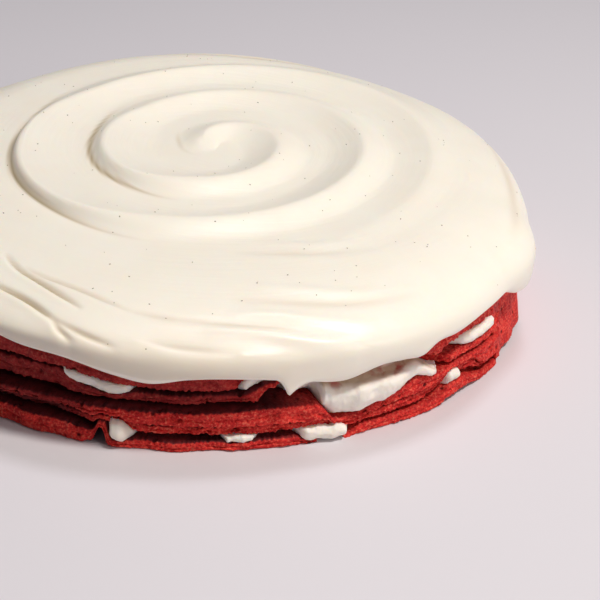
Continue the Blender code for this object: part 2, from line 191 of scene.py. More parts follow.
# where the rim leaves the flat stack: four azimuths between which it comes in, stays and goes out
# again, and how far each face moves up, in mm
RIM_EVENTS = [
    ("left gap", -140, -124, -106, -97, {1: 2.2, 2: 2.6, 3: 1.2, 4: -0.9}),
    ("left crown", -146, -126, -122, -94, {8: 7.6}),
    ("drawn in", -146, -120, -78, -72, {5: -3.0, 6: -1.3, 7: -1.3, 8: -0.9}),
    ("drawn in left", -150, -120, -112, -92, {5: -0.6, 6: -0.6, 7: -0.6}),
    ("left lift", -140, -122, -112, -98, {5: 2.0}),
    ("pocket floor", -140, -122, -108.5, -102.5, {6: 3.2}),
    ("pocket dip", -103, -100, -98.5, -95, {6: -0.9}),
    ("pocket roof", -140, -122, -108, -93, {7: 3.2}),
    ("fold", -101.9, -100.2, -99.9, -98.9, {0: 4.9}),
    ("fold back", -101.6, -100.0, -99.5, -98.5, {1: 3.8, 2: 2.6, 3: 1.5}),
    ("left blob", -99.4, -98.5, -97.6, -94.8, {1: -0.8, 2: 3.5, 3: 1.4}),
    ("front bit", -83.0, -81.0, -78.4, -75.8, {1: -0.2}),
    ("band swell", -88, -73, -68.6, -67.2, {4: 1.2}),
    ("bulge bed", -67.9, -65.2, -64.2, -50, {4: -4.4, 3: -1.2, 2: -0.4}),
    ("lobe", -78.6, -75.2, -74.6, -72.0, {5: 5.4}),
    ("ribbon", -80, -75.2, -74.5, -72, {6: 3.3}),
    ("cavity roof", -74.5, -71.5, -51.5, -44.5, {5: 4.8, 6: 3.6}),
    ("lifted top", -80.8, -77.2, -70, -63, {7: 6.0}),
    ("ragged top", -69, -62, -52, -49.4, {7: 3.6}),
    ("foot bed", -72, -68.2, -62.8, -60, {1: -1.9}),
    ("foot blob", -74, -70, -66.5, -63.2, {2: 0.9}),
    ("foot peak", -65.8, -64.8, -64.4, -63.2, {2: 0.9}),
    ("closed foot", -64, -62, -48, -45, {2: -0.4}),
    ("right corner", -53, -50, -46, -42, {7: -1.5}),
    ("right fold", -37, -32, -10, 0, {1: -0.8, 2: -1.2, 3: -2.8}),
    ("right step", -53, -50.5, -49.5, -47, {4: 0.8}),
    ("right dip", -52, -47.5, -33, -24, {4: -0.4, 5: -2.1, 6: -1.9}),
    ("right roof", -46, -38, -32, -28.5, {7: 0.9}),
    ("curl", -46.5, -41, -40, -34, {1: 2.6}),
    ("curl pocket", -43.9, -42.6, -40.8, -39.6, {2: 2.4}),
    ("curl roof", -48, -42.5, -38.5, -32, {2: 2.0, 3: 2.2}),
    ("curl foot", -45.6, -44, -37.5, -34, {0: 1.3}),
    ("right crown", -54, -40, -36, -20, {8: 2.6}),
    ("right bulge", 0, 18, 20, 38, {4: -2.2, 5: 2.0, 6: 1.2, 7: 0.8}),
    ("back pocket", 50, 60, 64, 71, {6: -1.8, 7: 1.2, 8: 1.0}),
    ("back blob", 80, 87, 90, 98, {1: -1.0, 2: 2.2, 3: 0.5}),
    ("back bulge", 112, 124, 132, 150, {4: -2.8, 5: 2.2, 6: 1.4, 7: 1.2, 8: 0.6}),
    ("side gap", 166, 182, 190, 210, {1: 1.2, 2: 2.2, 3: 0.8, 4: -0.6, 5: 0.8, 8: 1.4}),
    ("side pocket", 213, 220, 224, 230, {6: -1.8, 7: 1.2}),
]
SETBACK = {"crepe_1": 0.2, "cream_1": 5.0, "crepe_2": 1.1, "crepe_3": 0.1,
           "cream_2": 8.5, "crepe_4": 1.0, "cream_3": 5.0, "crepe_5": 0.8}
# layer, the same four azimuths, and how far its rim comes out there, in mm
RIM_REACHES = [
    ("crepe_4", -146, -120, -77, -72, -2.4), ("cream_3", -146, -120, -77, -72, -2.4),
    ("crepe_5", -146, -120, -77, -72, -2.4), ("cream_2", -146, -120, -77, -72, -3.0),
    ("crepe_2", -128, -112, -108, -100, -2.6), ("crepe_3", -128, -112, -108, -99, -2.0),
    ("crepe_4", -130, -114, -110, -101, -1.2), ("crepe_5", -130, -114, -110, -101, -0.8),
    ("cream_1", -126, -112, -104, -100.5, -4.5), ("cream_1", -99.6, -98.2, -97.4, -93.9, 7.2),
    ("cream_1", -83.2, -81.4, -78.2, -75.4, 5.3),
    ("cream_1", -72.5, -69.5, -64, -61.4, 6.0), ("crepe_1", -67.9, -67.0, -64.2, -63.4, -6.0),
    ("cream_3", -108.5, -105.5, -97, -94.5, 4.4), ("crepe_4", -81, -77, -75.5, -73.5, 0.8),
    ("cream_3", -80.5, -78.5, -76, -74.5, 4.2), ("cream_2", -73.5, -72, -68, -67, 3.0),
    ("cream_2", -68.3, -67.2, -47.5, -41.5, 9.4), ("cream_2", -66, -60, -56, -50, 1.6),
    ("crepe_4", -74.5, -72.5, -46.5, -42.5, -6.0), ("crepe_5", -78, -74, -67, -63, -2.0), ("crepe_5", -67, -62, -53, -49, 1.6),
    ("cream_3", -42.5, -37.5, -31, -28.4, 4.8),
    ("crepe_5", -54, -42, -38, -30, -1.0), ("crepe_5", -31.5, -27.5, 20, 45, -2.6), ("crepe_5", -16, -2, 20, 45, -2.6), ("cream_1", -43.8, -42.8, -41, -39.8, 5.2),
    ("crepe_1", -27.5, -23.5, -16, -8, -3.0), ("crepe_1", -10, 4, 30, 50, -2.5),
    ("crepe_2", -10, 4, 30, 50, -2.5), ("crepe_3", -10, 4, 30, 50, -2.5), ("crepe_4", -10, 4, 30, 50, -2.5),
    ("cream_2", 2, 16, 20, 36, 9.4), ("cream_3", 51, 60, 64, 71, 4.4), ("cream_1", 80, 87, 90, 98, 5.4),
    ("cream_2", 113, 124, 132, 149, 9.8), ("cream_3", 213, 220, 224, 230, 4.4),
]
FLAP = (-31.5, -27.5, 8, 30)             # the four azimuths of the top crepe's flap
FLAP_DROP, FLAP_FLARE, FLAP_THICK = 15.6, 3.4, 3.0
BEHIND_FLAP = 2.8                     # mm that the other layers draw in behind it


def smooth(t):
    t = np.clip(t, 0, 1)
    return t * t * (3 - 2 * t)


def stretch(az, start, full, last_full, end):
    """0 before start, rising smoothly to 1 from full to last_full, and back to 0 at end."""
    middle = (full + last_full) / 2
    az = (az - middle + 180) % 360 - 180 + middle
    return smooth((az - start) / (full - start)) * smooth((end - az) / (end - last_full))


def columns(count, bunching=BUNCHING):
    """Azimuths of the columns in degrees, closest together at FRONT."""
    u = np.arange(count) * 360 / count
    return u - bunching * np.degrees(np.sin(np.radians(u - FRONT)))


def rim_faces(az):
    z = [np.full(len(az), float(face)) for face in FACES]
    for _, *azimuths, rises in RIM_EVENTS:
        s = stretch(az, *azimuths)
        for face, rise in rises.items():
            z[face] = z[face] + s * rise
    for k in range(1, len(z)):
        z[k] = np.maximum(z[k], z[k - 1] + THINNEST)
    return z


def layer_radius(name, az):
    """Radius of a layer's rim in mm; all but the top crepe draw in behind its flap."""
    r = CAKE_RADIUS - SETBACK[name] + sum(amount * stretch(az, *azimuths)
                                          for layer, *azimuths, amount in RIM_REACHES if layer == name)
    r = r + 0.35 * np.sin(np.radians(7 * az) + len(name) + LAYERS.index(name)) - 1.7 * stretch(az, 135, 165, 195, 225)
    return r - (0.2 if name == "crepe_5" else BEHIND_FLAP) * stretch(az, -28, -24, 8, 30)


fine = columns(1300)
print("columns round a crepe:", len(fine), "of", round(2 * pi * CAKE_RADIUS / len(fine) * (1 - BUNCHING), 2), "mm at the front")

# %% [markdown]
# A disc is laid out as rings of points, from the middle of its top, out over the rim and back to
# the middle of its underside. Rings can be placed one by one, so a rim can be ragged, laminated or
# folded over, which a turned profile can't be. The first and the last ring close to one point.
# Each point also keeps how near the rim it lies. The relief, the swirl and the grains read that later.

# %% Discs from rings
def closed_disc(name, az, radius, height, **weights):
    """Arrays of rings by columns, in mm; the end rings are points. The weights become attributes."""
    a = np.radians(az)
    rings, count = radius.shape
    x = AXIS[0] + radius * np.cos(a)
    y = AXIS[1] + radius * np.sin(a)
    points = np.stack([x, y, height], axis=-1)
    inner = points[1:-1].reshape(-1, 3)
    every = np.vstack([points[:1, :1].reshape(1, 3), inner, points[-1:, :1].reshape(1, 3)]) * MM
    col = np.arange(count)
    after = (col + 1) % count
    start = 1 + np.arange(rings - 3)[:, None] * count
    quads = np.stack([start + col, start + count + col, start + count + after, start + after], axis=-1)
    last = 1 + (rings - 3) * count
    faces = ([(0, 1 + c, 1 + n) for c, n in zip(col.tolist(), after.tolist())]
             + quads.reshape(-1, 4).tolist()
             + [(last + c, len(every) - 1, last + n) for c, n in zip(col.tolist(), after.tolist())])
    mesh = bpy.data.meshes.new(name)
    mesh.from_pydata(every.tolist(), [], faces)
    mesh.shade_smooth()
    for label, share in weights.items():
        share = np.concatenate([share[0, :1], share[1:-1].ravel(), share[-1, :1]]).astype(np.float32)
        mesh.attributes.new(label, "FLOAT", "POINT").data.foreach_set("value", share)
    made = bpy.data.objects.new(name, mesh)
    bpy.context.scene.collection.objects.link(made)
    return made


def wander(seed, az, longest, shortest, reach):
    """A random line round the rim, in mm: waves between two lengths, up to about reach high."""
    around = 2 * pi * CAKE_RADIUS
    turns = np.arange(max(1, int(around / longest)), int(around / shortest) + 1)
    draw = np.random.default_rng(seed)
    phases, heights = draw.uniform(0, 2 * pi, len(turns)), draw.normal(0, 1, len(turns))
    line = sum(h * np.sin(np.radians(m * az) + p) for m, p, h in zip(turns, phases, heights))
    return reach * line / (1.8 * line.std())


# %% [markdown]
# A crepe is a thin sponge that flakes into leaves when it is cut. Each one gets a torn rim: its
# radius wanders in long and short waves, the leaves of one crepe step in and out, and a narrow
# groove runs between them. The top crepe's edge folds down over the side at the right.

# %% Crepe rims
# strength of the painted shade on each crepe's rim side, standing in for the shade under the frosting's overhang
RIM_SHADE = {"crepe_1": 0.1, "crepe_2": 0.9, "crepe_3": 0.7, "crepe_4": 0.65, "crepe_5": 0.55}
SKIN_AT_RIGHT = 0.3                   # how much of the dark colour the flat faces keep from the front right round to the back right
LEAVES = {"crepe_1": 2, "crepe_2": 2, "crepe_3": 2, "crepe_4": 2, "crepe_5": 3}
GROOVE_DEPTH, GROOVE_WIDTH = 0.6, 0.24
CORNER = 0.9
SIDE_RINGS, SHELF_RINGS = 17, 12


def crepe_side(name, seed, s, az):
    """How far the rim stands out from the crepe's radius at share s down its thickness."""
    leaves = LEAVES[name]
    drift = wander(seed + 5, az, 60, 9, 0.10)
    depth = 0.55 + wander(seed + 6, az, 40, 6, 0.45)
    leaf = np.clip((s + drift) * leaves, 0, leaves - 0.001).astype(int)
    steps = np.array([wander(seed + 10 + n, az, 45, 5, 0.32) for n in range(leaves)])
    out = np.take_along_axis(steps, leaf[None, :], axis=0)[0]
    to_groove = np.abs((s + drift) * leaves - np.round(np.clip((s + drift) * leaves, 1, leaves - 1)))
    return out - GROOVE_DEPTH * np.clip(depth, 0, 1) * np.exp(-(to_groove / GROOVE_WIDTH) ** 2)


def painted_rim_shade(name, az):
    """How strongly painted shade darkens the rim's side: most at the front left, under the frosting's overhang, and in
    a stretch of the back.
    """
    front = stretch(az, -150, -128, -84, -72) * (1 if name in ("crepe_4", "crepe_5") else
                                                 stretch(az, -150, -128, -108, -98))
    return RIM_SHADE[name] * np.maximum(front, 0.8 * stretch(az, 120, 150, 170, 200))


def crepe(name, seed):
    k, az = LAYERS.index(name), fine
    faces = rim_faces(az)
    ragged = wander(seed, az, 70, 12, 0.40) + wander(seed + 1, az, 9, 1.2, 0.10)
    edge = layer_radius(name, az) + ragged
    top = faces[k + 1] - GAP / 2
    bottom = faces[k] + (GAP / 2 if k else 0)
    top_nick, bottom_nick = wander(seed + 2, az, 5, 1.0, 0.24), wander(seed + 3, az, 5, 1.0, 0.24 if k else 0.05)
    bend = stretch(az, *FLAP) if name == "crepe_5" else 0 * az
    drop, flare = FLAP_DROP * bend, FLAP_FLARE * bend
    inner = edge - CORNER - (FLAP_THICK - CORNER) * bend
    flat_top, flat_bottom = FACES[k + 1] - GAP / 2 + 0 * az, FACES[k] + (GAP / 2 if k else 0) + 0 * az
    half_way = (FLAT_RADIUS + RIM_RADIUS) / 2
    one = np.ones(len(az))
    rings = [(0 * one, flat_top, 0), (40 * one, flat_top, 0), (FLAT_RADIUS * one, flat_top, 0),
             (half_way * one, (flat_top + top) / 2, 0), (RIM_RADIUS * one, top, 0)]
    shelf = edge - CORNER
    for t in np.linspace(0, 1, SHELF_RINGS + 1)[1:]:
        rings.append((RIM_RADIUS + (shelf - RIM_RADIUS) * t ** 0.7, top + top_nick * t ** 6, t ** 3))
    top, bottom = top + top_nick, np.maximum(bottom + bottom_nick, 0)
    for turn in (30, 60):
        t = radians(turn)
        rings.append((shelf + CORNER * np.sin(t), top - CORNER * (1 - np.cos(t)), 1))
    high, low = top - CORNER, bottom + CORNER * 0.6 - drop
    low = np.minimum(low, high - 0.2)
    for s in np.linspace(0, 1, SIDE_RINGS):
        z = high + (low - high) * s
        out = crepe_side(name, seed, s, az) * (1 - 0.8 * bend)
        rings.append((edge + out + flare * s, z, 1 - 0.55 * bend))
    for turn in (30, 60, 90):
        t = radians(turn)
        r = edge + flare - CORNER * (1 - np.cos(t))
        rings.append((r, low - CORNER * 0.6 * np.sin(t), 1 - 0.5 * bend))
    tuck = edge + flare - CORNER
    for t in np.linspace(0, 1, 6)[1:]:
        rings.append((tuck + (inner - 0.8 - tuck) * t, (bottom - drop) + drop * t ** 0.6, 1 - 0.5 * t))
    for t in np.linspace(0, 1, 6)[1:]:
        rings.append((inner - 0.8 + (RIM_RADIUS - inner + 0.8) * t, bottom - bottom_nick * t ** 0.5, 0.5 * (1 - t)))
    rings += [(half_way * one, (flat_bottom + bottom) / 2, 0), (FLAT_RADIUS * one, flat_bottom, 0),
              (40 * one, flat_bottom, 0), (0 * one, flat_bottom, 0)]
    radius, height = np.array([r for r, _, _ in rings]), np.array([z for _, z, _ in rings])
    rim = np.array([w + 0 * one for _, _, w in rings])
    # the flat faces carry a dark skin; the rim's side rings carry painted shade instead, at the front left and the back
    skin = np.ones(rim.shape) * (1 - (1 - SKIN_AT_RIGHT) * stretch(az, -76, -66, 20, 45))
    first_side = 6 + SHELF_RINGS
    skin[first_side:first_side + SIDE_RINGS + 3] = painted_rim_shade(name, az)
    return closed_disc(name + "_sponge", az, radius, height, rim=rim, skin=skin)


# %% [markdown]
# The cream between the crepes is drawn in almost everywhere and bulges out in a few places. Its
# rim is a soft round, fullest below its middle, because it sags as it is squeezed out.

# %% Cream rims
CREAM_SPREAD = 0.25                   # mm that cream presses into the crepes above and below
LEDGE, LEDGE_DEPTH = (-74, -71, -50, -46), 1.3  # where the upper half of the bulge stands back, in degrees and mm


def cream(name, seed):
    k, az = LAYERS.index(name), fine
    faces = rim_faces(az)
    edge = layer_radius(name, az) + wander(seed, az, 50, 6, 0.4)
    top, bottom = faces[k + 1] + CREAM_SPREAD, faces[k] - CREAM_SPREAD
    flat_top, flat_bottom = FACES[k + 1] - GAP / 2 + 0 * az, FACES[k] + GAP / 2 + 0 * az
    half_way = (FLAT_RADIUS + RIM_RADIUS) / 2
    one = np.ones(len(az))
    rings = [(0 * one, flat_top, 0), (40 * one, flat_top, 0), (FLAT_RADIUS * one, flat_top, 0),
             (half_way * one, (flat_top + top) / 2, 0)]
    ledge = stretch(az, *LEDGE) if name == "cream_2" else 0 * az
    round_in = np.minimum(0.5 * (top - bottom), 3.0) + LEDGE_DEPTH * ledge
    shelf = np.maximum(edge - round_in, half_way + 2)
    for t in np.linspace(0, 1, 7)[1:]:
        rings.append((half_way + (shelf - half_way) * t, top, t))
    for s in np.linspace(0, 1, 24)[1:-1]:
        fall = s ** 0.85
        full = np.sqrt(np.clip(1 - (2 * fall - 1) ** 2, 0, 1))
        stepped = (0.3 * smooth(s / 0.08) + 0.7 * smooth((s - 0.06) / 0.34)) * np.sqrt(1 - max(0, (s - 0.5) / 0.5) ** 2)
        r = shelf + (edge - shelf) * (full + (stepped - full) * ledge)
        # the upper side of the bulge, under the frosting's lip, gets painted shade and red crumb streaks
        rings.append((r, top + (bottom - top) * s, 1, smooth((0.30 - s) / 0.14) * ledge))
    for t in np.linspace(1, 0, 7)[:-1]:
        rings.append((half_way + (shelf - half_way) * t, bottom, t))
    rings += [(half_way * one, (flat_bottom + bottom) / 2, 0), (FLAT_RADIUS * one, flat_bottom, 0),
              (40 * one, flat_bottom, 0), (0 * one, flat_bottom, 0)]
    radius, height = np.array([ring[0] for ring in rings]), np.array([ring[1] for ring in rings])
    rim = np.array([ring[2] + 0 * one for ring in rings])
    stain = np.array([(ring[3] if len(ring) == 4 else 0) + 0 * one for ring in rings])
    return closed_disc(name + "_filling", az, radius, height, rim=rim, stain=stain)


# %% [markdown]
# A sponge is full of small holes. Moving the points along their normals by a noise for the crumb
# and by a cell pattern for the holes makes them real, so that they show in the outline too. That
# follows the surface, so it is a Geometry Nodes tree with the sizes as named inputs. The same tree
# serves the cream with other sizes. grow() runs a tree on an object, keeps the result as a plain
# mesh and takes the modifier away.

# %% Relief by Geometry Nodes
def new_tree(name, sizes):
    """A Geometry Nodes tree with one geometry input and output, and number inputs by name."""
    tree = bpy.data.node_groups.new(name, "GeometryNodeTree")
    tree.interface.new_socket("Geometry", in_out="INPUT", socket_type="NodeSocketGeometry")
    for label, value in sizes.items():
        kind = "NodeSocketMaterial" if label == "Material" else "NodeSocketFloat"
        socket = tree.interface.new_socket(label, in_out="INPUT", socket_type=kind)
        if value is not None:
            socket.default_value = value
    tree.interface.new_socket("Geometry", in_out="OUTPUT", socket_type="NodeSocketGeometry")
    return tree, tree.nodes.new("NodeGroupInput").outputs


def finish_tree(tree, geometry, material):
    """Every tree ends the same way: instances made real, then the material."""
    real = add(tree, "GeometryNodeRealizeInstances", (geometry,))
    add(tree, "NodeGroupOutput", (add(tree, "GeometryNodeSetMaterial", {"Geometry": real, "Material": material}),))


def grow(piece, tree, values):
    """Run a tree on a piece with its inputs set, and keep the result as the piece's own mesh."""
    modifier = piece.modifiers.new(tree.name, "NODES")
    modifier.node_group = tree
    for item in tree.interface.items_tree:
        if item.in_out == "INPUT" and item.name in values:
            modifier[item.identifier] = values[item.name]
    evaluated = piece.evaluated_get(bpy.context.evaluated_depsgraph_get())
    mesh = bpy.data.meshes.new_from_object(evaluated)
    piece.modifiers.remove(modifier)
    old, piece.data = piece.data, mesh
    bpy.data.meshes.remove(old)
    mesh.name = piece.name
    return piece


def relief_tree():
    tree, sizes = new_tree("crumb_relief", {"Crumb Size": 0.0016, "Crumb Depth": 0.0003, "Wave Size": 0.006,
                                            "Wave Depth": 0.0003, "Pore Spacing": 0.003, "Pore Depth": 0.0008,
                                            "Material": None})
    rim = add(tree, "GeometryNodeInputNamedAttribute", {"Name": "rim"}, data_type="FLOAT")

    def noise(size, depth):
        scale = add(tree, "ShaderNodeMath", (1.0, sizes[size]), operation="DIVIDE")
        fac = add(tree, "ShaderNodeTexNoise", {"Scale": scale, "Detail": 2.0, "Roughness": 0.55})
        centred = add(tree, "ShaderNodeMath", (fac, 0.5), operation="SUBTRACT")
        return add(tree, "ShaderNodeMath", (centred, add(tree, "ShaderNodeMath", (sizes[depth], 3.0),
                                                         operation="MULTIPLY")), operation="MULTIPLY")

    cells = add(tree, "ShaderNodeMath", (1.0, sizes["Pore Spacing"]), operation="DIVIDE")
    to_pore = add(tree, "ShaderNodeTexVoronoi", {"Scale": cells, "Randomness": 1.0}, out="Distance")
    pit = add(tree, "ShaderNodeMapRange", {"Value": to_pore, "From Min": 0.12, "From Max": 0.36,
                                           "To Min": -1.0, "To Max": 0.0}, interpolation_type="SMOOTHSTEP")
    pit = add(tree, "ShaderNodeMath", (pit, sizes["Pore Depth"]), operation="MULTIPLY")
    height = add(tree, "ShaderNodeMath", (noise("Crumb Size", "Crumb Depth"), noise("Wave Size", "Wave Depth")),
                 operation="ADD")
    height = add(tree, "ShaderNodeMath", (height, pit), operation="ADD")
    height = add(tree, "ShaderNodeMath", (height, rim), operation="MULTIPLY")
    push = add(tree, "ShaderNodeVectorMath", {"Vector": add(tree, "GeometryNodeInputNormal"), "Scale": height},
               operation="SCALE")
    moved = add(tree, "GeometryNodeSetPosition", {"Geometry": sizes["Geometry"], "Offset": push})
    finish_tree(tree, moved, sizes["Material"])
    return tree


crumb_relief = relief_tree()

# %% [markdown]
# Red crepe is a dense, moist sponge coloured all the way through. Light goes a little way into it,
# so it has a faint glow. The colour moves between three reds: a painted shade deep in the holes,
# middle, and a light crumb, so the torn crumb looks brighter than its holes.

# %% Sponge
CRUMB, PORE = 0.7, 4.2                # mm


def sponge():
    made, tree = new_material("red_crepe_sponge")
    place = add(tree, "ShaderNodeTexCoord", out="Object")

    def noise(size, detail, where=place):
        return add(tree, "ShaderNodeTexNoise", {"Vector": where, "Scale": 1 / (size * MM), "Detail": detail,
                                                "Roughness": 0.6})

    def blend(factor, first, second):
        return add(tree, "ShaderNodeMix", {"Factor_Float": factor, "A_Color": first, "B_Color": second},
                   out="Result_Color", data_type="RGBA")

    flat = add(tree, "ShaderNodeMapping", {"Vector": place, "Scale": (1.0, 1.0, 3.5)})
    grain, patches, layers = noise(CRUMB, 3.0), noise(5.0, 3.0), noise(3.6, 3.0, flat)
    holes = add(tree, "ShaderNodeTexVoronoi", {"Vector": place, "Scale": 1 / (PORE * MM)}, out="Distance")
    pit = add(tree, "ShaderNodeMapRange", {"Value": holes, "From Min": 0.06, "From Max": 0.19},
              interpolation_type="SMOOTHSTEP")
    tone = add(tree, "ShaderNodeMath", (patches, layers), operation="ADD")
    tone = add(tree, "ShaderNodeMapRange", {"Value": tone, "From Min": 0.76, "From Max": 1.24})
    light = add(tree, "ShaderNodeMapRange", {"Value": grain, "From Min": 0.52, "From Max": 0.76})
    dark = add(tree, "ShaderNodeMapRange", {"Value": grain, "From Min": 0.48, "From Max": 0.24})
    red = blend(tone, linear("#ba141a"), linear("#e83a32"))
    red = blend(light, red, linear("#f07a62"))
    red = blend(dark, red, linear("#7c070c"))
    # one weight: dark skin on the flat faces, and painted shade on the rim's side at the front left and the back
    skin = add(tree, "ShaderNodeAttribute", out="Fac", attribute_name="skin")
    red = blend(skin, red, blend(tone, linear("#441216"), linear("#6a1f23")))
    # painted shade deep in the holes, on the same cells as the relief's pits; the same mask also sets the bump
    red = blend(pit, linear("#5c070c"), red)
    height = add(tree, "ShaderNodeMath", (grain, pit), operation="ADD")
    bump = add(tree, "ShaderNodeBump", {"Height": height, "Strength": 0.8, "Distance": 0.35 * MM})
    shader = add(tree, "ShaderNodeBsdfPrincipled", {
        "Base Color": red, "Roughness": 0.6, "IOR": 1.4, "Specular IOR Level": 0.25, "Normal": bump, "Subsurface Weight": 0.15,
        "Subsurface Radius": (1.0, 0.25, 0.2), "Subsurface Scale": 1.0 * MM})
    add(tree, "ShaderNodeOutputMaterial", {"Surface": shader})
    return made


red_sponge = sponge()

# %% [markdown]
# Cream cheese filling and frosting are whipped fat and sugar: white, a touch warm, and soft enough
# for light to travel a few millimetres inside. That is what rounds off their shading. The frosting
# is smoother and shinier than the filling, because a spatula has passed over it.

# %% Cream
SWIRL_MIDDLE = (3.5 + AXIS[0], 8.4 + AXIS[1])  # mm
BRISTLE = 1.6                         # mm between the faint lines that the spatula leaves


def whipped_cream(name, light, dark, roughness, lump, strength, brushed=0.0):
    """light and dark are two near tints. A weight on the cream's upper side under the frosting's lip brings in a tan
    painted shade and streaks of red crumb dragged into the cream.
    """
    made, tree = new_material(name)
    place = add(tree, "ShaderNodeTexCoord", out="Object")

    def noise(size, detail=2.0, stretched=None):
        return add(tree, "ShaderNodeTexNoise", {"Vector": stretched or place, "Scale": 1 / (size * MM),
                                                "Detail": detail})

    def blend(factor, first, second):
        return add(tree, "ShaderNodeMix", {"Factor_Float": factor, "A_Color": first, "B_Color": second},
                   out="Result_Color", data_type="RGBA")

    colour = blend(noise(14, 3.0), linear(dark), linear(light))
    stain = add(tree, "ShaderNodeAttribute", out="Fac", attribute_name="stain")
    streak = add(tree, "ShaderNodeMapRange", {"Value": noise(4.5, 3.0), "From Min": 0.50, "From Max": 0.62})
    # first a tan painted shade under the frosting's lip, then real streaks of red crumb
    colour = blend(add(tree, "ShaderNodeMath", (stain, 0.85), operation="MULTIPLY"), colour, linear("#a98a68"))
    colour = blend(add(tree, "ShaderNodeMath", (stain, streak), operation="MULTIPLY"), colour, linear("#a8584c"))
    # a tan painted shade in the frosting's creases, along the swirl's crisp step and on its lower left
    crease = add(tree, "ShaderNodeAttribute", out="Fac", attribute_name="crease")
    colour = blend(add(tree, "ShaderNodeMath", (crease, 0.85), operation="MULTIPLY"), colour, linear("#ab966a"))
    bump = add(tree, "ShaderNodeBump", {"Height": noise(lump), "Strength": strength, "Distance": 0.3 * MM})
    if brushed:
        middle = (SWIRL_MIDDLE[0] * MM, SWIRL_MIDDLE[1] * MM, 0.0)
        from_middle = add(tree, "ShaderNodeVectorMath", (place, middle), operation="SUBTRACT")
        level = add(tree, "ShaderNodeVectorMath", (from_middle, (1.0, 1.0, 0.0)), operation="MULTIPLY")
        away = add(tree, "ShaderNodeVectorMath", (level,), out="Value", operation="LENGTH")
        heading = add(tree, "ShaderNodeVectorMath", (level,), operation="NORMALIZE")
        spot = add(tree, "ShaderNodeCombineXYZ", {"Z": add(tree, "ShaderNodeMath", (away, 1 / (BRISTLE * MM)),
                                                           operation="MULTIPLY")})
        spot = add(tree, "ShaderNodeVectorMath", (heading, (2.2, 2.2, 0.0), spot), operation="MULTIPLY_ADD")
        lines = add(tree, "ShaderNodeTexNoise", {"Vector": spot, "Scale": 1.0, "Detail": 2.0})
        bump = add(tree, "ShaderNodeBump", {"Height": lines, "Strength": brushed, "Distance": 0.3 * MM,
                                            "Normal": bump})
    shader = add(tree, "ShaderNodeBsdfPrincipled", {
        "Base Color": colour, "Roughness": roughness, "IOR": 1.45, "Normal": bump, "Subsurface Weight": 0.5,
        "Subsurface Radius": (1.0, 0.75, 0.5), "Subsurface Scale": 1.5 * MM})
    add(tree, "ShaderNodeOutputMaterial", {"Surface": shader})
    return made


filling = whipped_cream("cream_cheese_filling", "#fbf4ec", "#f5eae0", 0.5, 1.2, 0.5)
icing = whipped_cream("vanilla_cream_cheese_frosting", "#fcf5ea", "#f8eddf", 0.36, 2.2, 0.05, 0.30)

# %% [markdown]
# Now the layers are made one after another. Every piece rides on the cake's only body and
# stands for the model's solid of the same layer, which it hides.

# %% Make the layers
def hand_over(piece, node):
    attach(piece, "root")
    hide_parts(node)
    print(piece.name, len(piece.data.polygons), "faces")


def settle(piece):
    """Nothing sinks into the board: points below it are set on it."""
    places = np.empty(3 * len(piece.data.vertices), np.float32)
    piece.data.vertices.foreach_get("co", places)
    places[2::3] = np.maximum(places[2::3], 0)
    piece.data.vertices.foreach_set("co", places)
    piece.data.update()
    return piece


CREPE_SIZES = {"Crumb Size": 1.3 * MM, "Crumb Depth": 0.13 * MM, "Wave Size": 6 * MM, "Wave Depth": 0.12 * MM,
               "Pore Spacing": PORE * MM, "Pore Depth": 0.55 * MM, "Material": red_sponge}
CREAM_SIZES = {"Crumb Size": 2.2 * MM, "Crumb Depth": 0.26 * MM, "Wave Size": 5 * MM, "Wave Depth": 0.55 * MM,
               "Pore Spacing": 5 * MM, "Pore Depth": 0.12 * MM, "Material": filling}
for seed, name in enumerate(LAYERS):
    if name.startswith("crepe"):
        hand_over(settle(grow(crepe(name, 100 * seed), crumb_relief, CREPE_SIZES)), name)
    else:
        hand_over(grow(cream(name, 100 * seed), crumb_relief, CREAM_SIZES), name)

# %% [markdown]
# The frosting is a thick coat: a nearly flat top that climbs a little towards the back, a round
# shoulder, and a lip that is tucked in and hangs over the crepes. Its outline is not round, and
# its lip rises and falls, with one pulled tip at the front. The body comes first, without the
# swirl, again as rings of points.

# %% The frosting's body
FROSTING_TOP, FROSTING_TILT, FROSTING_WAIST = 39.85, 0.03, 26.0
FROSTING_RADIUS, FROSTING_OVAL, FROSTING_SHOULDER = 101.5, 3.0, 26.0
FROSTING_EDGE = [(-38, 34, 1.8), (-18, 13, 2.8), (30, 30, 2.6), (95, 55, 3.8)]
LIP_TUCK = 1.7
# azimuth and height of the lip's lower edge, in mm, all the way round
LIP_LINE = [(-180, 23.0), (-150, 25.5), (-132, 28.8), (-119, 28.8), (-112, 26.8), (-104, 25.9), (-97.5, 23.2),
            (-92.5, 21.6), (-87, 23.1), (-78, 22.7), (-72, 21.2), (-65, 19.4), (-58.5, 21.7), (-55, 21.3),
            (-51.3, 20.9), (-49.3, 22.9), (-45, 23.2), (-36, 25.0), (-30, 24.6), (-24, 20.6), (-17, 19.6), (-8, 21.0),
            (2, 22.4), (24, 23.6), (44, 21.6), (62, 23.8), (78, 21.0), (98, 23.6), (120, 22.0), (142, 23.8),
            (160, 21.8)]
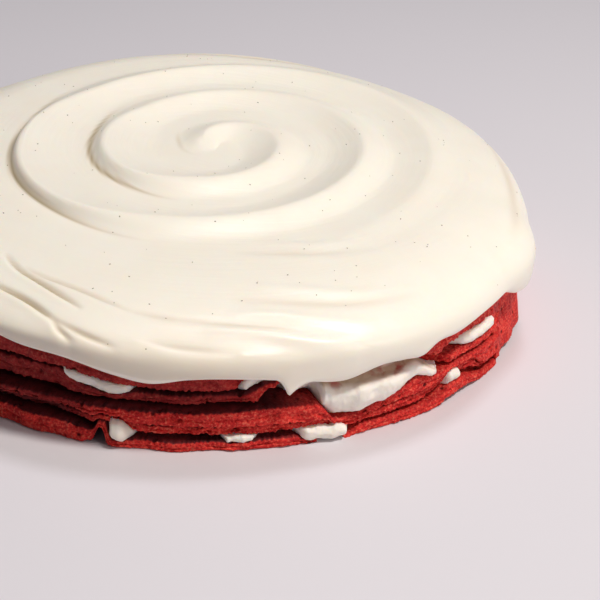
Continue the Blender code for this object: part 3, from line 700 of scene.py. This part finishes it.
# marks of the spatula on the shoulder: path by azimuth and radius, height, half width, and the height
# of the fold beside it, in mm
STROKES = [
    ([(-124, 82), (-119, 85.5), (-113.8, 87.5), (-107.5, 91.3), (-104, 94)], -1.2, 0.7, 0.25),
    ([(-118, 84), (-113.8, 85.5), (-107, 86.8), (-101.2, 89.7), (-97, 92)], -0.6, 0.7, 0.15),
    ([(-122, 93), (-116.8, 93.9), (-112.2, 95.5), (-109, 97.8), (-106.5, 99.8)], -1.4, 0.75, 0.3),
    ([(-106.8, 99.4), (-103, 101.4), (-100.2, 102.5), (-97, 103.4)], -0.8, 0.8, 0.2),
    ([(-106.5, 100), (-105.2, 102.3), (-102.8, 104.2)], -0.8, 0.7, 0.2),
    ([(-93, 101), (-89, 101.6), (-86.2, 101.6), (-81, 102)], -0.45, 1.0, 0.35),
    ([(-97, 92), (-93.8, 92.7), (-91.2, 93.3), (-87, 93.6)], -0.3, 1.2, 0.2),
    ([(-88, 93.4), (-83, 94.2), (-76, 95.5), (-72, 96.6)], -0.35, 1.2, 0.3),
    ([(-80, 91), (-74, 92.3), (-68, 95.6), (-60, 99.2)], 0.5, 1.5, -0.35),
    ([(-84, 96.2), (-77, 97), (-69.5, 100.8), (-64, 102.4)], 0.5, 1.5, -0.4),
    ([(-76, 80.5), (-68, 83.6), (-60.5, 88.6), (-54, 91)], 0.3, 1.7, -0.2),
    ([(-80, 85.5), (-70, 88.4), (-60, 92.6), (-50, 95)], -0.25, 1.6, 0.15),
    ([(-72, 58), (-64, 60.5), (-57.5, 64.5), (-50, 67)], 0.22, 1.4, -0.14),
    ([(-78, 62), (-68, 65), (-58, 69.5), (-48, 73)], -0.18, 1.4, 0.12),
    ([(60, 97), (75, 94), (95, 96), (110, 99)], -0.6, 1.8, 0.4),
    ([(128, 96), (142, 92.5), (156, 94), (168, 97)], -0.8, 1.6, 0.6),
    ([(-165, 95), (-152, 91), (-141, 92), (-132, 95)], -0.8, 1.5, 0.6),
    ([(-20, 96), (-5, 93), (12, 94), (26, 98)], -0.35, 1.6, 0.15),
]
# narrow tips of the lip: azimuth, reach before and after it, and drop in mm
LIP_TIPS = [(-73.2, 1.9, 3.8, 4.6), (58, 2.6, 2.2, 3.2), (133, 3.0, 2.4, 2.4), (-158, 2.6, 3.0, 2.8)]
TOP_RINGS, SHOULDER_RINGS = 70, 62


def lip_height(az):
    """The lip's lower edge: a smooth curve through LIP_LINE, with its pulled tips."""
    x, y = np.array(LIP_LINE, float).T
    x, y = np.concatenate([x - 360, x, x + 360]), np.tile(y, 3)
    slope = np.gradient(y, x)
    az = (az + 180) % 360 - 180
    k = np.searchsorted(x, az, side="right") - 1
    wide = x[k + 1] - x[k]
    t = (az - x[k]) / wide
    line = (y[k] * (1 + 2 * t) * (1 - t) ** 2 + y[k + 1] * t * t * (3 - 2 * t)
            + wide * (slope[k] * t * (1 - t) ** 2 - slope[k + 1] * t * t * (1 - t)))
    for centre, before, after, drop in LIP_TIPS:
        d = (az - centre + 180) % 360 - 180
        line = line - drop * np.clip(1 - np.abs(d) / np.where(d < 0, before, after), 0, 1) ** 1.8
    return line


def frosting_radius(az):
    a = np.radians(az)
    bulges = sum(amount * stretch(az, c - w, c - 1, c + 1, c + w) for c, w, amount in FROSTING_EDGE)
    return FROSTING_RADIUS - FROSTING_OVAL * np.cos(2 * a) + bulges + 0.35 * np.sin(7 * a + 1.9)


def along(az, r, path):
    """For points at az and r: distance in mm to a path of (azimuth, radius), and the share gone along it."""
    x, y = r * np.cos(np.radians(az)), r * np.sin(np.radians(az))
    knots, fine_knots = np.arange(len(path)), np.linspace(0, len(path) - 1, 8 * len(path) - 7)
    path = [np.convolve(np.pad(np.interp(fine_knots, knots, values), 4, mode="reflect", reflect_type="odd"),
                        np.full(9, 1 / 9), "valid") for values in zip(*path)]
    corners = [(q * np.cos(np.radians(a)), q * np.sin(np.radians(a))) for a, q in zip(*path)]
    best, share = np.full(np.shape(x), 1e3), np.zeros(np.shape(x))
    for k, ((x0, y0), (x1, y1)) in enumerate(zip(corners, corners[1:])):
        long = (x1 - x0) ** 2 + (y1 - y0) ** 2
        t = np.clip(((x - x0) * (x1 - x0) + (y - y0) * (y1 - y0)) / long, 0, 1)
        side = np.sign((x - x0) * (y1 - y0) - (y - y0) * (x1 - x0))
        d = np.hypot(x - x0 - t * (x1 - x0), y - y0 - t * (y1 - y0))
        nearer = d < np.abs(best)
        best = np.where(nearer, d * side, best)
        share = np.where(nearer, (k + t) / (len(corners) - 1), share)
    return best, share


def marks(az, r):
    """How far the spatula's creases and ridges move the surface out, in mm, and how much painted shade lies in each
    crease.
    """
    moved = np.zeros(np.shape(r * np.ones_like(az)))
    crease = np.zeros(moved.shape)
    for path, height, width, fold in STROKES:
        d, share = along(az, r, path)
        fade = np.sin(pi * np.clip(share * 0.94 + 0.03, 0, 1)) ** 0.7
        line = height * np.exp(-(d / width) ** 2)
        beside = fold * np.exp(-((d - 2.2 * width) / (1.8 * width)) ** 2)
        moved += (line + beside) * fade
        # painted shade along the crease
        crease += np.clip(-height / 1.3, 0, 1) * np.exp(-(d / (0.9 * width)) ** 2) * fade
    return moved, np.clip(crease, 0, 1)


def frosting_body():
    az = columns(640, 0.45)
    a, edge, lip = np.radians(az), frosting_radius(az), lip_height(az)
    rest = rim_faces(az)[-1]
    waist = FROSTING_WAIST + 4.2 * stretch(az, -170, -140, -108, -84)
    tuck = LIP_TUCK - 1.2 * stretch(az, -28, -14, 4, 20)
    start = edge - FROSTING_SHOULDER * (1 - 0.26 * np.sin(a))
    rings = []
    for t in np.linspace(0, 1, TOP_RINGS + 1):
        r = start * t
        rings.append((r, FROSTING_TOP + FROSTING_TILT * r * np.sin(a), 1))
    for t in np.radians(np.linspace(0, 90, SHOULDER_RINGS + 1)[1:]):
        r = start + (edge - start) * np.sin(t)
        crown = FROSTING_TOP + FROSTING_TILT * r * np.sin(a)
        rings.append((r, crown + (waist - crown) * (1 - np.cos(t) ** 0.85), np.cos(t)))
    for t in np.radians(np.linspace(0, 90, 10)[1:]):
        rings.append((edge - tuck * (1 - np.cos(t)), waist - (waist - lip) * np.sin(t), 0))
    inner = np.minimum(layer_radius("crepe_5", az) - 1.0, edge - tuck - 1.5)
    for t in np.linspace(0, 1, 6)[1:]:
        r = edge - tuck + (inner - edge + tuck) * t
        rings.append((r, lip + 0.5 * (1 - np.cos(t * pi / 2)), 0))
    one = np.ones(len(az))
    rings += [(inner - 1, np.maximum(rest, lip + 1), 0), (RIM_RADIUS * one, rest, 0),
              (FLAT_RADIUS * one, FACES[-1] * one, 0), (40 * one, FACES[-1] * one, 0), (0 * one, FACES[-1] * one, 0)]
    radius, height = np.array([r for r, _, _ in rings]), np.array([z for _, z, _ in rings])
    top = np.array([w + 0 * one for _, _, w in rings])
    slope_r, slope_z = np.gradient(radius, axis=0), np.gradient(height, axis=0)
    steep = np.hypot(slope_r, slope_z) + 1e-9
    above = np.arange(len(rings))[:, None] < TOP_RINGS + SHOULDER_RINGS + 5
    out, crease = marks(az, radius)
    out = np.where(above, out, 0) * np.clip((height - lip) / 4, 0, 1)
    # a broad painted shade on the lower left of the shoulder, added to the creases' painted shade
    in_shade = 0.3 * stretch(az, -170, -125, -90, -60) * smooth((36 - height) / 10)
    crease = np.where(above, np.maximum(crease, in_shade), 0)
    radius, height = radius - out * slope_z / steep, height + out * slope_r / steep
    return closed_disc("frosting_swirl", az, radius, height, rim=top, crease=crease)


# %% [markdown]
# The swirl follows one rule, so it is a Geometry Nodes tree. A spatula is held against the turning
# cake and drawn slowly in, which leaves one groove that winds from the rim to the middle. Going
# inward, each turn climbs a steep step and then falls gently to the next turn. For every point the
# tree works out its angle and radius about the swirl's centre, compares the radius with the
# groove's on each turn, and adds up the heights. The step is crisp at the left and soft elsewhere.

# %% The swirl's tree
TURNS_IN_ALL = 4


def swirl_tree():
    tree, sizes = new_tree("spatula_swirl", {
        "Centre X": 0.0, "Centre Y": 0.0, "Start Radius": 0.073, "Pitch": 0.0239, "Tighten": 0.002,
        "Oval": 0.0041, "Skew": 0.0013, "Turns": 2.15, "Rounding": 0.34, "Height": 0.0026, "Soft Step": 0.0085,
        "Crisp Step": 0.003, "Crisp Angle": 3.32, "Crease Width": 0.001, "Material": None})

    def calc(operation, *values):
        return add(tree, "ShaderNodeMath", values, operation=operation)

    def ramp(value, low, high):
        return add(tree, "ShaderNodeMapRange", {"Value": value, "From Min": low, "From Max": high},
                   interpolation_type="SMOOTHSTEP")

    split = tree.nodes.new("ShaderNodeSeparateXYZ")
    tree.links.new(add(tree, "GeometryNodeInputPosition"), split.inputs[0])
    dx, dy = calc("SUBTRACT", split.outputs["X"], sizes["Centre X"]), calc("SUBTRACT", split.outputs["Y"],
                                                                           sizes["Centre Y"])
    r = calc("SQRT", calc("ADD", calc("MULTIPLY", dx, dx), calc("MULTIPLY", dy, dy)))
    a = calc("ARCTAN2", dy, dx)
    first = calc("SUBTRACT", calc("FLOORED_MODULO", calc("DIVIDE", calc("SUBTRACT", a, pi / 2), 2 * pi), 1.0), 1.0)
    twice = calc("MULTIPLY", a, 2.0)
    oval = calc("SUBTRACT", calc("MULTIPLY", calc("SINE", twice), sizes["Skew"]),
                calc("MULTIPLY", calc("COSINE", twice), sizes["Oval"]))
    crisp = ramp(calc("COSINE", calc("SUBTRACT", a, sizes["Crisp Angle"])), 0.45, 0.95)
    sharper = calc("MULTIPLY", crisp, calc("SUBTRACT", sizes["Crisp Step"], sizes["Soft Step"]))
    height, deep = None, None
    for n in range(TURNS_IN_ALL):
        turn = calc("ADD", first, float(n))
        step = calc("MULTIPLY_ADD", sharper, 1.0 - 0.25 * max(0, n - 1), sizes["Soft Step"])
        drawn_in = calc("ADD", calc("MULTIPLY", turn, sizes["Pitch"]),
                        calc("MULTIPLY", calc("MULTIPLY", turn, turn), sizes["Tighten"]))
        rounder = calc("MULTIPLY", oval, calc("SUBTRACT", 1.0, calc("MULTIPLY", turn, sizes["Rounding"])))
        groove = calc("ADD", calc("SUBTRACT", sizes["Start Radius"], drawn_in), rounder)
        inward = calc("SUBTRACT", calc("ADD", groove, calc("MULTIPLY", step, 0.5)), r)
        climb = ramp(calc("DIVIDE", inward, step), 0.0, 1.0)
        gone = calc("DIVIDE", calc("SUBTRACT", inward, step), calc("SUBTRACT", sizes["Pitch"], step))
        fall = calc("POWER", calc("SUBTRACT", 1.0, calc("MINIMUM", calc("MAXIMUM", gone, 0.0), 1.0)), 1.4)
        strength = calc("MULTIPLY", ramp(turn, -0.55, 0.05),
                        ramp(calc("SUBTRACT", sizes["Turns"], turn), 0.0, 0.5))
        arm = calc("MULTIPLY", calc("MULTIPLY", climb, fall), strength)
        # painted shade along the foot of the crisp step, kept with the creases' painted shade
        foot = ramp(calc("ABSOLUTE", inward), sizes["Crease Width"], 0.0)
        foot = calc("MULTIPLY", calc("MULTIPLY", foot, crisp), strength)
        height = arm if height is None else calc("ADD", height, arm)
        deep = foot if deep is None else calc("MAXIMUM", deep, foot)
    top = add(tree, "GeometryNodeInputNamedAttribute", {"Name": "rim"}, data_type="FLOAT")
    lift = calc("MULTIPLY", calc("MULTIPLY", height, top), sizes["Height"])
    push = add(tree, "ShaderNodeCombineXYZ", {"Z": lift})
    folds = add(tree, "GeometryNodeInputNamedAttribute", {"Name": "crease"}, data_type="FLOAT")
    folds = calc("MAXIMUM", folds, calc("MULTIPLY", deep, top))
    marked = add(tree, "GeometryNodeStoreNamedAttribute", {"Geometry": sizes["Geometry"], "Name": "crease",
                                                           "Value": folds}, data_type="FLOAT", domain="POINT")
    finish_tree(tree, add(tree, "GeometryNodeSetPosition", {"Geometry": marked, "Offset": push}), sizes["Material"])
    return tree


SWIRL_SIZES = {"Centre X": SWIRL_MIDDLE[0] * MM, "Centre Y": SWIRL_MIDDLE[1] * MM, "Start Radius": 68.6 * MM,
               "Pitch": 21.0 * MM, "Tighten": 2.4 * MM, "Oval": 2.6 * MM, "Skew": 3.4 * MM, "Turns": 2.42,
               "Rounding": 0.34, "Height": 3.0 * MM, "Soft Step": 10.5 * MM, "Crisp Step": 2.0 * MM, "Crease Width": 1.4 * MM,
               "Crisp Angle": radians(198), "Material": icing}
frosting = grow(frosting_body(), swirl_tree(), SWIRL_SIZES)
hand_over(frosting, "frosting")

# %% [markdown]
# Vanilla seeds are dark brown grains a third of a millimetre long that float anywhere in the
# frosting. Red crumbs come off the cut crepes and stick to the rim beside them. Both are
# scattered by one small tree: points on the faces that carry the attribute "rim", a lumpy grain on
# each point, turned and sized at random, and all made real.

# %% Grains
def scatter_tree(name, carriers, grain_faces, share):
    """Grains on the carriers where their "rim" is above share."""
    tree, sizes = new_tree(name, {"Density": 1000.0, "Smallest": 0.0002, "Largest": 0.0004, "Flatness": 0.6,
                                  "Seed": 1.0, "Material": None})
    join = tree.nodes.new("GeometryNodeJoinGeometry")
    for carrier in carriers:
        tree.links.new(add(tree, "GeometryNodeObjectInfo", {"Object": carrier}, out="Geometry"), join.inputs[0])
    rim = add(tree, "GeometryNodeInputNamedAttribute", {"Name": "rim"}, data_type="FLOAT")
    chosen = add(tree, "FunctionNodeCompare", {"A": rim, "B": share}, data_type="FLOAT",
                 operation="GREATER_THAN")
    spread = tree.nodes.new("GeometryNodeDistributePointsOnFaces")
    for key, value in {"Mesh": join.outputs[0], "Selection": chosen, "Density": sizes["Density"],
                       "Seed": sizes["Seed"]}.items():
        tree.links.new(value, spread.inputs[key])
    ball = add(tree, "GeometryNodeMeshIcoSphere", {"Radius": 1.0, "Subdivisions": grain_faces}, out="Mesh")
    lump = add(tree, "ShaderNodeTexNoise", {"Scale": 0.9, "Detail": 1.0}, out="Color")
    lump = add(tree, "ShaderNodeVectorMath", (lump, (0.5, 0.5, 0.5)), operation="SUBTRACT")
    ball = add(tree, "GeometryNodeSetPosition", {"Geometry": ball, "Offset": lump})
    size = add(tree, "FunctionNodeRandomValue", {"Min_001": sizes["Smallest"], "Max_001": sizes["Largest"],
                                                 "Seed": 3}, out="Value_001", data_type="FLOAT")
    shape = add(tree, "ShaderNodeCombineXYZ", (1.0, 0.75, sizes["Flatness"]))
    scale = add(tree, "ShaderNodeVectorMath", {"Vector": shape, "Scale": size}, operation="SCALE")
    spin = add(tree, "FunctionNodeRandomValue", {"Max": (0.6, 0.6, 6.28), "Seed": 5}, out="Value",
               data_type="FLOAT_VECTOR")
    turned = add(tree, "FunctionNodeRotateRotation", {"Rotation": spread.outputs["Rotation"], "Rotate By": spin},
                 rotation_space="LOCAL")
    grains = add(tree, "GeometryNodeInstanceOnPoints", {"Points": spread.outputs["Points"], "Instance": ball,
                                                        "Rotation": turned, "Scale": scale})
    finish_tree(tree, grains, sizes["Material"])
    return tree


def seed_husk():
    made, tree = new_material("vanilla_seed_husk")
    place = add(tree, "ShaderNodeTexCoord", out="Object")
    shade = add(tree, "ShaderNodeTexNoise", {"Vector": place, "Scale": 1 / (6 * MM), "Detail": 1.0})
    colour = add(tree, "ShaderNodeMix", {"Factor_Float": shade, "A_Color": linear("#80725f"),
                                         "B_Color": linear("#b9ad9a")}, out="Result_Color", data_type="RGBA")
    shader = add(tree, "ShaderNodeBsdfPrincipled", {"Base Color": colour, "Roughness": 0.6})
    add(tree, "ShaderNodeOutputMaterial", {"Surface": shader})
    return made


def grains(name, carriers, grain_faces, share, values, slot):
    mesh = bpy.data.meshes.new(name)
    piece = bpy.data.objects.new(name, mesh)
    bpy.context.scene.collection.objects.link(piece)
    settle(grow(piece, scatter_tree(name + "_scatter", carriers, grain_faces, share), values))
    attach(piece, "root")
    print(name, len(piece.data.polygons), "faces")


grains("vanilla_seeds", [frosting], 1, 0.05,
       {"Density": 6500.0, "Smallest": 0.14 * MM, "Largest": 0.34 * MM, "Flatness": 0.4, "Seed": 4,
        "Material": seed_husk()}, "frosting")
grains("red_crumbs", [bpy.data.objects[n + "_sponge"] for n in LAYERS if n.startswith("crepe")], 1, 0.95,
       {"Density": 90000.0, "Smallest": 0.12 * MM, "Largest": 0.42 * MM, "Flatness": 0.8, "Seed": 7,
        "Material": red_sponge}, "crepe")
